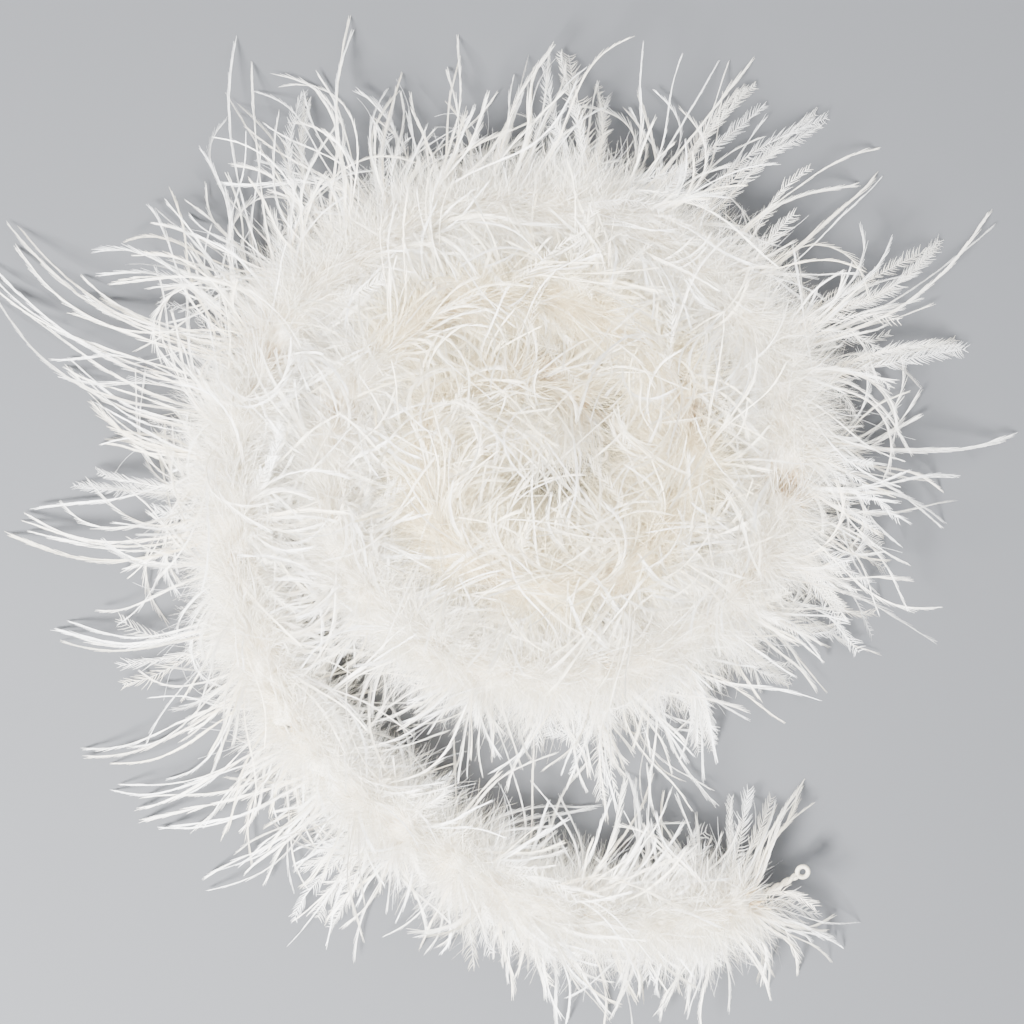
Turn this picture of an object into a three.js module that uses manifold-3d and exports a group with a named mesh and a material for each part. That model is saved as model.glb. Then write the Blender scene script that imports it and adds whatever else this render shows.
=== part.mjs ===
// A feather boa laid down in a loose spiral, in millimetres, with +Z up from the table.
// A twisted core cord runs through everything. Sleeves of marabou down are threaded on it one
// after another, and a bunch of long ostrich flues is bound round it between each two sleeves.
// The outer tail bends and lifts at the bunches, and the inner end lifts out of the coil.
import * as THREE from 'three';
import { mergeVertices } from 'three/addons/utils/BufferGeometryUtils.js';
import Module from 'manifold-3d';

// Core cord
const CORD_RADIUS = 2;
const CORD_SIDES = 8;
const CORD_STEP = 24;             // longest straight step along the route
const LEAST_STEP = 1;             // and the shortest, on a piece threaded on the cord
const FIT = 0.3;                  // clearance between the cord and what is threaded on it

// Places along the route, measured from the outer tip of the cord
const FIRST_BUNCH = 40;
const BUNCH_PITCH = 95;
const SLEEVE_COUNT = 20;
const BUNCH_COUNT = SLEEVE_COUNT + 1;

// Marabou down sleeves
const SLEEVE_RADIUS = 22;
const SLEEVE_PRESS = 2;           // how far its own weight presses a sleeve flat
const SLEEVE_END_RADIUS = 10;
const SLEEVE_SHOULDER = 13;       // length over which a sleeve swells to its full radius
const SLEEVE_SIDES = 10;
const SLEEVE_GAP_AFTER_BUNCH = 3.6;
const SLEEVE_GAP_BEFORE_BUNCH = 9.5;
const TABLE_LEVEL = 0;
const CORE_HEIGHT = SLEEVE_RADIUS - SLEEVE_PRESS;   // the cord's middle above the table

// Ostrich flue bunches
const COLLAR_RADIUS = 5.4;
const COLLAR_WIDTH = 5;
const COLLAR_SIDES = 8;
const FLUE_ROOT_WIDTH = 4.8;
const FLUE_TIP_WIDTH = 1.6;
const FLUE_FLATNESS = 0.45;       // thickness as a share of width
const FLUE_DROOP = 0.16;          // drop of a level flue's tip as a share of its reach
const FLUE_CURL = 2.4;            // how late along a flue its lean and droop set in
const FLUE_ROOT_DEPTH = CORD_RADIUS + FIT + 0.7;   // where a flue starts inside its collar
const FLUE_STATIONS = [0, 0.34, 0.68, 1];           // shares of a flue where its spine is placed
const FLUE_STEPS = 3;
const FLUE_SIDES = 3;
const FLUE_CLEAR = 1.4;           // lowest height of a flue's middle above the table

// Joints lie just outside a bunch, where the cord is bare
const HINGE_OFFSET = 5;
const LOOP_HINGE = 27;

// Cord ends
const WHIPPING_RADIUS = 3.3;
const WHIPPING_LENGTH = 7;
const WHIPPING_EDGE_ROUND = 0.6;
const WHIPPING_TO_BUNCH = 8;      // middle of a whipping to the middle of its bunch
const LOOP_RADIUS = 2.9;
const LOOP_CORD_RADIUS = 1.3;
const LOOP_SIDES = 6;
const LOOP_STEPS = 14;
const INNER_STUB = 12;            // bare cord past the inner whipping

// Route of the tail from the outer tip to where the coil begins, then the coil by formula
const TAIL_ROUTE = [
  [172, -187], [151, -199], [115, -211], [59, -214], [12, -200], [-26, -177],
  [-61, -154], [-92, -126], [-114, -96], [-129, -64], [-138, -27],
];
const COIL_START = [-140.16, 35];
const COIL_INNER_RADIUS = 29;
const COIL_WIDENING = 1.08;       // the coil is a little wider than it is deep
const TURN_GAP = 3;               // between the sleeves of one turn and the next
const COIL_PITCH = 2 * SLEEVE_RADIUS + TURN_GAP;    // how far the radius shrinks in a turn
const POINTS_PER_TURN = 16;
const SPARE_ROUTE = 10;           // route past the inner loop

// Longest outward flue of each bunch that has open table beside it, from the outer end
const OPEN_REACH = [70, 67, 80, 100, 136, 150, 124, 101, 106, 117, 104, 66];

// Flues of a bunch: degrees from upright towards the open side, lean along the route as a
// share of reach, and reach as a share of the bunch's longest
const OPEN_FAN = [
  [98, -0.15, 0.94], [88, 0.06, 1], [74, 0.16, 0.96], [58, -0.12, 0.9],
  [36, 0.1, 0.76], [10, -0.1, 0.66],
];
// Short flues on the closed side: degrees from upright, lean in millimetres and reach
const CLOSED_FAN = [[-36, 7, 50], [-15, -6, 64]];
// Flues of a bunch between two turns, all of them rising
const RISING_FAN = [
  [16, -12, 74], [5, 10, 92], [-6, -8, 84], [-17, 9, 70], [25, 5, 50], [-28, -5, 46],
];
// Extra flues of the first bunch, out past the tip of the cord
const END_FAN = [[62, 52, 66], [-58, 60, 58], [14, 44, 58], [112, 46, 58]];

const UP = new THREE.Vector3(0, 0, 1);
const SAME_POINT = 1e-4;          // vertices closer than this are one
const LENGTH_SAMPLES = 4000;      // along the route, to measure it

const wasm = await Module();
wasm.setup();

const materials = {
  down: () => new THREE.MeshStandardMaterial({ color: 0xf4f1ea, roughness: 0.95, metalness: 0 }),
  flue: () => new THREE.MeshStandardMaterial({ color: 0xf8f7f3, roughness: 0.7, metalness: 0 }),
  cord: () => new THREE.MeshStandardMaterial({ color: 0xe9e4d8, roughness: 0.85, metalness: 0 }),
  thread: () => new THREE.MeshStandardMaterial({ color: 0xf1eee6, roughness: 0.6, metalness: 0 }),
};

const boa = new THREE.Group();

function addPiece(name, geometry, finish) {
  const piece = new THREE.Mesh(geometry, materials[finish]());
  piece.name = name;
  boa.add(piece);
}

// ---- the route ----

const bunchPlace = (number) => FIRST_BUNCH + BUNCH_PITCH * (number - 1);
const hingePlace = (number) => bunchPlace(number) - HINGE_OFFSET;

const LOOP_CENTRE = LOOP_RADIUS + LOOP_CORD_RADIUS;
const INNER_WHIPPING = bunchPlace(BUNCH_COUNT) + WHIPPING_TO_BUNCH;
const INNER_END = INNER_WHIPPING + WHIPPING_LENGTH / 2 + INNER_STUB;
const BOA_LENGTH = INNER_END + FIT + 2 * LOOP_CENTRE;

// As many turns as hold the cord that the tail leaves over
function coilTurns() {
  const tail = [...TAIL_ROUTE, COIL_START];
  const tailLength = tail.slice(1).reduce(
    (sum, [x, y], i) => sum + Math.hypot(x - tail[i][0], y - tail[i][1]), 0,
  );
  const round = (Math.PI * (1 + COIL_WIDENING)) / 2;
  const toWind = (BOA_LENGTH + SPARE_ROUTE - tailLength) / round;
  return (Math.sqrt(COIL_INNER_RADIUS ** 2 + COIL_PITCH * toWind) - COIL_INNER_RADIUS)
    / COIL_PITCH;
}

function coilPoints() {
  const turns = coilTurns();
  const startRadius = COIL_INNER_RADIUS + COIL_PITCH * turns;
  const middle = COIL_START[0] + COIL_WIDENING * startRadius;
  const count = Math.ceil(POINTS_PER_TURN * turns);
  return Array.from({ length: count + 1 }, (_, i) => {
    const turn = (turns * i) / count;
    const angle = Math.PI - 2 * Math.PI * turn;
    const radius = startRadius - COIL_PITCH * turn;
    return [
      middle + COIL_WIDENING * radius * Math.cos(angle),
      COIL_START[1] + radius * Math.sin(angle),
    ];
  });
}

const routePoints = [...TAIL_ROUTE, ...coilPoints()].map(
  ([x, y]) => new THREE.Vector3(x, y, CORE_HEIGHT),
);
const routeCurve = new THREE.CatmullRomCurve3(routePoints, false, 'centripetal');
routeCurve.arcLengthDivisions = LENGTH_SAMPLES;
const ROUTE_LENGTH = routeCurve.getLength();

function smoothFrame(place) {
  const share = Math.min(1, Math.max(0, place / ROUTE_LENGTH));
  const along = routeCurve.getTangentAt(share).setZ(0).normalize();
  return {
    place,
    centre: routeCurve.getPointAt(share),
    along,
    inward: new THREE.Vector3().crossVectors(along, UP),
  };
}

// Lengths of cord between the joints: each one starts flat and ends in a round knuckle
const KNUCKLE_GAP = CORD_RADIUS + FIT;
const cordPieces = [
  { name: 'end_loop_outer', from: LOOP_CENTRE + LOOP_RADIUS, to: LOOP_HINGE },
  { name: 'core_cord_tail_4', from: LOOP_HINGE + KNUCKLE_GAP, to: hingePlace(2) },
  { name: 'core_cord_tail_3', from: hingePlace(2) + KNUCKLE_GAP, to: hingePlace(3) },
  { name: 'core_cord_tail_2', from: hingePlace(3) + KNUCKLE_GAP, to: hingePlace(4) },
  { name: 'core_cord_tail_1', from: hingePlace(4) + KNUCKLE_GAP, to: hingePlace(5) },
  { name: 'core_cord_coil', from: hingePlace(5) + KNUCKLE_GAP, to: hingePlace(BUNCH_COUNT - 1) },
  { name: 'core_cord_inner', from: hingePlace(BUNCH_COUNT - 1) + KNUCKLE_GAP, to: INNER_END },
];
for (const piece of cordPieces) {
  piece.steps = Math.ceil((piece.to - piece.from) / CORD_STEP);
}

// The cord is straight between these places, and everything threaded on it bends with it
const cordFrames = cordPieces.flatMap(({ from, to, steps }) =>
  Array.from({ length: steps + 1 }, (_, i) => smoothFrame(from + ((to - from) * i) / steps)),
);

function frameAt(place) {
  let next = cordFrames.findIndex((frame) => frame.place >= place);
  if (next < 1) next = next === 0 ? 1 : cordFrames.length - 1;
  const before = cordFrames[next - 1];
  const after = cordFrames[next];
  const share = (place - before.place) / (after.place - before.place);
  return {
    centre: before.centre.clone().lerp(after.centre, share),
    inward: before.inward.clone().lerp(after.inward, share),
    along: before.along.clone().lerp(after.along, share).normalize(),
  };
}

// The places from one end of a threaded piece to the other, with each bend of the cord between
function placesBetween(from, to) {
  const bends = cordFrames.map((frame) => frame.place);
  const inside = bends.filter((place) => place > from + LEAST_STEP && place < to - LEAST_STEP);
  return [from, ...inside, to];
}

// A shape made upright about Y, with Y as the place along the route, is bent along it
function bendAlongRoute(geometry) {
  const position = geometry.attributes.position;
  for (let i = 0; i < position.count; i++) {
    const { centre, inward } = frameAt(position.getY(i));
    const point = centre.addScaledVector(inward, position.getX(i));
    position.setXYZ(i, point.x, point.y, Math.max(TABLE_LEVEL, point.z + position.getZ(i)));
  }
  return geometry;
}

// ---- solids ----

function toSolid(geometry) {
  const plain = geometry.clone();
  plain.deleteAttribute('normal');
  plain.deleteAttribute('uv');
  const merged = mergeVertices(plain, SAME_POINT);
  return new wasm.Manifold(new wasm.Mesh({
    numProp: 3,
    vertProperties: new Float32Array(merged.attributes.position.array),
    triVerts: new Uint32Array(merged.index.array),
  }));
}

function toGeometry(solid) {
  const { vertProperties, triVerts } = solid.getMesh();
  const geometry = new THREE.BufferGeometry();
  geometry.setAttribute('position', new THREE.BufferAttribute(vertProperties, 3));
  geometry.setIndex(new THREE.BufferAttribute(triVerts, 1));
  geometry.computeVertexNormals();
  return geometry;
}

const joined = (geometries) => toGeometry(geometries.map(toSolid).reduce((a, b) => a.add(b)));

// A ring about the route: a bore round the cord and an outline of [place, radius] outside it
function threadedRing(outline, sides) {
  const from = outline[0][0];
  const to = outline[outline.length - 1][0];
  const bore = placesBetween(from, to).map((place) => [place, CORD_RADIUS + FIT]);
  const profile = [...bore.reverse(), ...outline, bore[0]];
  const points = profile.map(([place, radius]) => new THREE.Vector2(radius, place));
  const turned = new THREE.LatheGeometry(points, sides, Math.PI / sides);
  return bendAlongRoute(turned);
}

// ---- the cord and its ends ----

class RouteStretch extends THREE.Curve {
  constructor(from, to) {
    super();
    this.from = from;
    this.to = to;
  }

  getPoint(share) {
    return smoothFrame(this.from + (this.to - this.from) * share).centre;
  }

  getPointAt(share) {
    return this.getPoint(share);
  }
}

function cordSection(radius) {
  const corners = Array.from({ length: CORD_SIDES }, (_, i) => {
    const angle = ((i + 0.5) / CORD_SIDES) * 2 * Math.PI;
    return new THREE.Vector2(radius * Math.cos(angle), radius * Math.sin(angle));
  });
  return new THREE.Shape(corners);
}

function cordTube({ from, to, steps }) {
  const extrudePath = new RouteStretch(from, to);
  return new THREE.ExtrudeGeometry(cordSection(CORD_RADIUS), { steps, extrudePath });
}

function knuckle(place) {
  const ball = new THREE.SphereGeometry(CORD_RADIUS, CORD_SIDES, CORD_SIDES / 2);
  const { centre } = smoothFrame(place);
  return ball.translate(centre.x, centre.y, centre.z);
}

function loopRing(centre) {
  const ring = new THREE.TorusGeometry(LOOP_RADIUS, LOOP_CORD_RADIUS, LOOP_SIDES, LOOP_STEPS);
  return ring.translate(centre.x, centre.y, centre.z);
}

function makeCord() {
  for (const piece of cordPieces) {
    const shapes = [cordTube(piece)];
    if (piece.to < INNER_END) shapes.push(knuckle(piece.to));
    if (piece.name === 'end_loop_outer') shapes.push(loopRing(smoothFrame(LOOP_CENTRE).centre));
    addPiece(piece.name, joined(shapes), 'cord');
  }
}

function makeInnerLoop() {
  const { centre, along } = smoothFrame(INNER_END);
  const middle = centre.clone().addScaledVector(along, FIT + LOOP_RADIUS + LOOP_CORD_RADIUS);
  addPiece('end_loop_inner', loopRing(middle), 'cord');
}

function makeWhipping(name, place) {
  const half = WHIPPING_LENGTH / 2;
  const edge = WHIPPING_RADIUS - WHIPPING_EDGE_ROUND;
  const flat = half - WHIPPING_EDGE_ROUND;
  const outline = [
    [place - half, edge], [place - flat, WHIPPING_RADIUS],
    [place + flat, WHIPPING_RADIUS], [place + half, edge],
  ];
  addPiece(name, threadedRing(outline, CORD_SIDES), 'thread');
}

// ---- marabou down ----

const twoDigits = (number) => String(number).padStart(2, '0');

function makeDownSleeve(number) {
  const from = bunchPlace(number) + SLEEVE_GAP_AFTER_BUNCH;
  const to = bunchPlace(number + 1) - SLEEVE_GAP_BEFORE_BUNCH;
  const full = placesBetween(from + SLEEVE_SHOULDER, to - SLEEVE_SHOULDER);
  const outline = [
    [from, SLEEVE_END_RADIUS],
    ...full.map((place) => [place, SLEEVE_RADIUS]),
    [to, SLEEVE_END_RADIUS],
  ];
  addPiece(`marabou_down_${twoDigits(number)}`, threadedRing(outline, SLEEVE_SIDES), 'down');
}

// ---- ostrich flues ----

function flue(frame, degrees, lean, reach) {
  const angle = (degrees * Math.PI) / 180;
  const heading = UP.clone().multiplyScalar(Math.cos(angle))
    .addScaledVector(frame.inward, -Math.sin(angle));
  const points = FLUE_STATIONS.map((share) => {
    const out = FLUE_ROOT_DEPTH + (reach - FLUE_ROOT_DEPTH) * share;
    const point = frame.centre.clone().addScaledVector(heading, out);
    point.addScaledVector(frame.along, lean * share ** FLUE_CURL);
    const droop = FLUE_DROOP * reach * Math.abs(Math.sin(angle)) * share ** FLUE_CURL;
    point.z = Math.max(FLUE_CLEAR, point.z - droop);
    return point;
  });
  const spine = new THREE.CatmullRomCurve3(points);
  const blank = new THREE.CylinderGeometry(
    FLUE_TIP_WIDTH / 2, FLUE_ROOT_WIDTH / 2, 1, FLUE_SIDES, FLUE_STEPS,
  );
  const position = blank.attributes.position;
  for (let i = 0; i < position.count; i++) {
    const share = position.getY(i) + 0.5;
    const tangent = spine.getTangent(share);
    const across = new THREE.Vector3().crossVectors(tangent, heading.clone().cross(frame.along));
    across.normalize();
    const through = new THREE.Vector3().crossVectors(across, tangent);
    const point = spine.getPoint(share)
      .addScaledVector(across, position.getX(i))
      .addScaledVector(through, position.getZ(i) * FLUE_FLATNESS);
    position.setXYZ(i, point.x, point.y, Math.max(TABLE_LEVEL + FIT, point.z));
  }
  return blank;
}

function collar(place) {
  const half = COLLAR_WIDTH / 2;
  const outline = [[place - half, COLLAR_RADIUS], [place + half, COLLAR_RADIUS]];
  return threadedRing(outline, COLLAR_SIDES);
}

function bunchFan(number) {
  const reach = OPEN_REACH[number - 1];
  if (reach === undefined) return RISING_FAN;
  const open = OPEN_FAN.map(([degrees, lean, share]) => [degrees, lean * reach, reach * share]);
  return [...open, ...CLOSED_FAN];
}

function makeFlueBunch(number) {
  const place = bunchPlace(number);
  const frame = frameAt(place);
  const fan = bunchFan(number).map(([degrees, lean, reach]) => flue(frame, degrees, lean, reach));
  if (number === 1) {
    fan.push(...END_FAN.map(([degrees, lean, reach]) => flue(frame, degrees, -lean, reach)));
  }
  addPiece(`ostrich_flues_${twoDigits(number)}`, joined([collar(place), ...fan]), 'flue');
}

makeCord();
makeInnerLoop();
makeWhipping('whipping_outer', bunchPlace(1) - WHIPPING_TO_BUNCH);
makeWhipping('whipping_inner', INNER_WHIPPING);
for (let number = 1; number <= SLEEVE_COUNT; number++) makeDownSleeve(number);
for (let number = 1; number <= BUNCH_COUNT; number++) makeFlueBunch(number);

export default boa;
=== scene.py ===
"""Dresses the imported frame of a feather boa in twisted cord, marabou down and ostrich flues."""
import math

import bpy
import numpy as np
from bpy.props import FloatProperty, FloatVectorProperty, IntProperty, PointerProperty
from bpy.types import Operator, Panel, PropertyGroup
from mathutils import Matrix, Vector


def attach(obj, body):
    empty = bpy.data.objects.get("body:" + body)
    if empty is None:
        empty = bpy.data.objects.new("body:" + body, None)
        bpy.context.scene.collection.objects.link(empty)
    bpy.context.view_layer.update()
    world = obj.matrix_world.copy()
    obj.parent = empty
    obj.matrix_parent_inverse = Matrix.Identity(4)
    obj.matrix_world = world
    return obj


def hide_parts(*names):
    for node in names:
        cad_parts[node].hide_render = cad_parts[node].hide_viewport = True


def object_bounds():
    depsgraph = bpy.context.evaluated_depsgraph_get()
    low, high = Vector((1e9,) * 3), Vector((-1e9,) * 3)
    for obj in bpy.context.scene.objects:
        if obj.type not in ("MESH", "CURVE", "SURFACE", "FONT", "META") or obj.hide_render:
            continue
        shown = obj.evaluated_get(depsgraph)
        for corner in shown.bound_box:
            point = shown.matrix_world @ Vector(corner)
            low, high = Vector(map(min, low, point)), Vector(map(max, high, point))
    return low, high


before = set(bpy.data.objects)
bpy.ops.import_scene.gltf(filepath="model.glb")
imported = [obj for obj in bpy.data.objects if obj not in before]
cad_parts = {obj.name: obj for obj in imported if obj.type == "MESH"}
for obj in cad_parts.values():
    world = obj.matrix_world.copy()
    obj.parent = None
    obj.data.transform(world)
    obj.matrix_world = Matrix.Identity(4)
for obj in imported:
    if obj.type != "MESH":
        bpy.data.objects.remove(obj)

bl_info = {
    "name": "Feather Boa Maker",
    "version": (1, 0, 0),
    "blender": (4, 5, 0),
    "location": "3D View > Sidebar > Feather Boa",
    "description": "Spins the cord, the down and the flues of a feather boa round its frame",
    "category": "Object",
}

CAD_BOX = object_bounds()

# Lengths below are in millimetres, and meshes are scaled to metres when they are made
MM = 0.001
UP = np.array([0.0, 0.0, 1.0])

# The core cord's route on the table, from its outer tip to where the coil begins
TAIL_ROUTE = [
    (172, -187), (151, -199), (115, -211), (59, -214), (12, -200), (-26, -177),
    (-61, -154), (-92, -126), (-114, -96), (-129, -64), (-138, -27),
]
COIL_START = (-140.16, 35)
COIL_INNER_RADIUS = 29
COIL_WIDENING = 1.08
COIL_PITCH = 47
COIL_TURNS = 2.5832
POINTS_PER_TURN = 16
CORE_HEIGHT = 20

# Places along the route, from the outer tip
FIRST_BUNCH = 40
BUNCH_PITCH = 95
SLEEVE_COUNT = 20
BUNCH_COUNT = SLEEVE_COUNT + 1
TAIL_BUNCHES = 5
RIM_BUNCHES = 14
HINGE_OFFSET = 5
LOOP_HINGE = 27
LOOP_RADIUS = 2.9
LOOP_CENTRE = 4.2
CORD_END = 1963.5
WHIPPING_LENGTH = 7
WHIPPING_TO_BUNCH = 8

# The texture map is shared out in columns: strands, then shafts, then quill ends
COLUMNS = 64
SHAFT_COLUMN = 54
QUILL_COLUMN = 60
COLUMN_MARGIN, COLUMN_SPAN = 0.08, 0.84
MAP_NAME = "OFBake"

# Middle strand column on the rim and in the coil: a higher one is creamier and darker. The coil's
# down is partly its own cream and partly painted shade under the flues.
DOWN_TONES = (12, 44)
FLUE_TONES = (6, 18)
TONE_SPREAD = 8

# The soft pile's height along the cord, and how far it spreads to the sides
PILE_HEIGHT = 33
PILE_SPREAD = 23

# The cord's plies, with widths as shares of the cord's, and the round eye at each end
PLIES = 2
PLY_OFFSET = 0.235
PLY_WIDTH = 0.54
PLY_END_WIDTH = 0.2
PLY_STEP = 0.9
PLY_SIDES = 10
PLY_MAP_LENGTH = 40.0
EYE_WIDTH = 0.6
EYE_GAP = 0.42
EYE_POINTS = 40
EYE_SIDES = 12
EYE_COLUMN = 3
EYE_NECK = 0.6

# The whipping thread
THREAD_TURNS = 12
THREAD_POINTS = 22
THREAD_WIDTH = 0.46
THREAD_LAYERS = (2.35, 2.85)


# ---- the route ----

def coil_corners():
    start_radius = COIL_INNER_RADIUS + COIL_PITCH * COIL_TURNS
    middle = COIL_START[0] + COIL_WIDENING * start_radius
    count = math.ceil(POINTS_PER_TURN * COIL_TURNS)
    for i in range(count + 1):
        turn = COIL_TURNS * i / count
        angle = math.pi - 2 * math.pi * turn
        radius = start_radius - COIL_PITCH * turn
        yield (middle + COIL_WIDENING * radius * math.cos(angle),
               COIL_START[1] + radius * math.sin(angle))


def smooth_line(corners, samples=14):
    """A centripetal curve through the corners."""
    first = 2 * corners[0] - corners[1]
    last = 2 * corners[-1] - corners[-2]
    knots = np.vstack([first, corners, last])
    shares = np.linspace(0, 1, samples, endpoint=False)[:, None]
    stretches = []
    for a, b, c, d in zip(knots, knots[1:], knots[2:], knots[3:]):
        ab, bc, cd = (np.linalg.norm(q - p) ** 0.5 for p, q in ((a, b), (b, c), (c, d)))
        out = bc * ((b - a) / ab - (c - a) / (ab + bc) + (c - b) / bc)
        into = bc * ((c - b) / bc - (d - b) / (bc + cd) + (d - c) / cd)
        square, cube = shares ** 2, shares ** 3
        stretches.append(b + out * shares + (3 * (c - b) - 2 * out - into) * square
                         + (2 * (b - c) + out + into) * cube)
    return np.vstack([*stretches, corners[-1:]])


class Route:
    """The core cord's line, by places along it."""

    def __init__(self):
        corners = np.array([*TAIL_ROUTE, *coil_corners()], float)
        self.line = smooth_line(corners)
        steps = np.linalg.norm(np.diff(self.line, axis=0), axis=1)
        self.places = np.concatenate([[0], np.cumsum(steps)])
        self.length = self.places[-1]

    def point(self, places):
        x, y = (np.interp(places, self.places, self.line[:, i]) for i in (0, 1))
        return np.stack([x, y, np.full_like(x, CORE_HEIGHT)], axis=-1)

    def along(self, places):
        places = np.asarray(places, float)
        ahead = self.point(np.minimum(places + 3, self.length))
        return unit(ahead - self.point(np.maximum(places - 3, 0)))

    def outward(self, places):
        return np.cross(UP, self.along(places))

    def turning(self, places):
        """How fast the route turns, in radians for each millimetre; clockwise is negative."""
        before = self.along(np.maximum(places - 8, 0))
        after = self.along(np.minimum(places + 8, self.length))
        return np.cross(before, after)[:, 2] / 16


def unit(vectors):
    return vectors / np.maximum(np.linalg.norm(vectors, axis=-1, keepdims=True), 1e-9)


def smoothly(low, high, values):
    share = np.clip((values - low) / (high - low), 0, 1)
    return share * share * (3 - 2 * share)


ROUTE = Route()
ROUTE_MARKS = ROUTE.point(np.arange(0, ROUTE.length, 6.0))[:, :2]


def bunch_place(number):
    return FIRST_BUNCH + BUNCH_PITCH * (number - 1)


def hinge_place(number):
    return bunch_place(number) - HINGE_OFFSET


def body_of_bunch(number):
    tails = {1: "tail_4", 2: "tail_3", 3: "tail_2", 4: "tail_1"}
    return tails.get(number, "coil" if number < BUNCH_COUNT - 1 else "inner_end")


def pile_height(points):
    """How high the soft down lies over each point of the table."""
    gaps = np.linalg.norm(points[..., None, :] - ROUTE_MARKS, axis=-1).min(axis=-1)
    return PILE_HEIGHT * np.exp(-(gaps / PILE_SPREAD) ** 2)


def random_for(number, kind):
    return np.random.default_rng([number, kind])


def tones(rng, number, count, middles):
    """Columns of the map for a bunch's strands: cool white on the rim, creamier and darker in the
    coil, partly the feathers' own cream and partly painted shade.
    """
    middle = middles[0] if number <= RIM_BUNCHES else middles[1]
    return np.clip(rng.normal(middle, TONE_SPREAD, count), 0, SHAFT_COLUMN - 1).astype(int)


# ---- strands and their meshes ----

class Fibres:
    """Gathers ribbons and fine tubes, each with its column of the texture map, into one mesh."""

    def __init__(self):
        self.points = []
        self.quads = []
        self.corners = []
        self.count = 0

    def add(self, points, quads, corners):
        self.points.append(points.reshape(-1, 3))
        self.quads.append(quads.reshape(-1, 4) + self.count)
        self.corners.append(corners.reshape(-1, 2))
        self.count += self.points[-1].shape[0]

    def tubes(self, rings, run, columns):
        """rings is (tubes, steps, sides, 3), run is (tubes, steps) and columns is (tubes,).
        Two sides make a flat ribbon, with one face; more make a closed tube."""
        tubes, steps, sides, _ = rings.shape
        index = np.arange(tubes * steps * sides).reshape(tubes, steps, sides)
        faces = 1 if sides == 2 else sides
        here, there = index[:, :, :faces], np.roll(index, -1, axis=2)[:, :, :faces]
        quads = np.stack([here[:, :-1], there[:, :-1], there[:, 1:], here[:, 1:]], axis=-1)
        left = np.broadcast_to(np.arange(faces) / faces, (tubes, steps - 1, faces))
        low = (columns[:, None, None] + COLUMN_MARGIN + COLUMN_SPAN * left) / COLUMNS
        high = low + COLUMN_SPAN / faces / COLUMNS
        start = np.broadcast_to(run[:, :-1, None], low.shape)
        stop = np.broadcast_to(run[:, 1:, None], low.shape)
        corners = np.stack([np.stack([low, start], -1), np.stack([high, start], -1),
                            np.stack([high, stop], -1), np.stack([low, stop], -1)], axis=-2)
        self.add(rings, quads, corners)

    def ribbons(self, spines, across, widths, run, columns):
        half = across * (widths / 2)[..., None]
        self.tubes(np.stack([spines - half, spines + half], axis=2), run, columns)

    def round_tubes(self, spines, across, through, widths, run, columns, sides=3):
        angles = np.arange(sides) * 2 * math.pi / sides
        half = (widths / 2)[..., None, None]
        ring = (across[:, :, None] * np.cos(angles)[:, None]
                + through[:, :, None] * np.sin(angles)[:, None]) * half
        self.tubes(spines[:, :, None] + ring, run, columns)

    def make(self, name, material):
        points = np.vstack(self.points).astype(np.float32) * MM
        quads = np.vstack(self.quads).astype(np.int32)
        corners = np.vstack(self.corners).astype(np.float32)
        mesh = bpy.data.meshes.new(name)
        mesh.vertices.add(len(points))
        mesh.vertices.foreach_set("co", points.ravel())
        mesh.loops.add(quads.size)
        mesh.loops.foreach_set("vertex_index", quads.ravel())
        mesh.polygons.add(len(quads))
        mesh.polygons.foreach_set("loop_start", np.arange(0, quads.size, 4, dtype=np.int32))
        mesh.update(calc_edges=True)
        mesh.uv_layers.new(name=MAP_NAME).data.foreach_set("uv", corners.ravel())
        mesh.polygons.foreach_set("use_smooth", np.ones(len(quads), bool))
        mesh.materials.append(material)
        piece = bpy.data.objects.new(name, mesh)
        bpy.context.scene.collection.objects.link(piece)
        return piece


def grow(rng, roots, headings, lengths, bend, sway, weight, clear, steps, pile=None, kink=0.0,
         phase=None):
    """Walks strands out from their roots as they curl, droop and come to rest on what lies below.
    pile is how much of the soft down's height holds each strand up."""
    spines = np.empty((len(roots), steps, 3))
    spines[:, 0] = roots
    heading = headings.copy()
    stride = lengths / (steps - 1)
    if phase is None:
        phase = rng.uniform(0, 2 * math.pi, len(roots))
    for i in range(1, steps):
        run = i / (steps - 1)
        turn = (bend + sway * np.cos(phase + 5 * run)) * stride + rng.normal(0, kink, len(roots))
        x, y = heading[:, 0].copy(), heading[:, 1].copy()
        heading[:, 0] = x * np.cos(turn) - y * np.sin(turn)
        heading[:, 1] = x * np.sin(turn) + y * np.cos(turn)
        heading[:, 2] -= weight * stride * (0.4 + run)  # the thin end droops most
        heading = unit(heading)
        point = spines[:, i - 1] + heading * stride[:, None]
        floor = clear
        if pile is not None:
            floor = floor + pile * pile_height(point[:, :2]) * smoothly(12, 45, run * lengths)
        under = point[:, 2] < floor
        point[under, 2] = np.minimum(floor[under], point[under, 2] + 0.6 * stride[under])
        heading[under, 2] = np.maximum(heading[under, 2], 0.02)
        point[:, 2] = np.maximum(point[:, 2], np.minimum(clear, 1.0))
        spines[:, i] = point
    inner = spines[:, 1:-1]
    spines[:, 1:-1] = (spines[:, :-2] + 2 * inner + spines[:, 2:]) / 4
    return spines


def frames(rng, spines, roll=0.6):
    """Each strand's directions: forward, across its flat and through it."""
    forward = unit(np.gradient(spines, axis=1))
    tilt = rng.normal(0, roll, (len(spines), 1, 3)) * [1, 1, 0]
    across = unit(np.cross(forward, UP + tilt))
    return forward, across, np.cross(across, forward)


def sample(values, shares):
    """values (strands, steps, 3) read at shares (strands, samples) of the way along."""
    place = shares * (values.shape[1] - 1)
    low = np.clip(place.astype(int), 0, values.shape[1] - 2)
    part = (place - low)[..., None]
    row = np.arange(len(values))[:, None]
    return values[row, low] * (1 - part) + values[row, low + 1] * part


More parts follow.
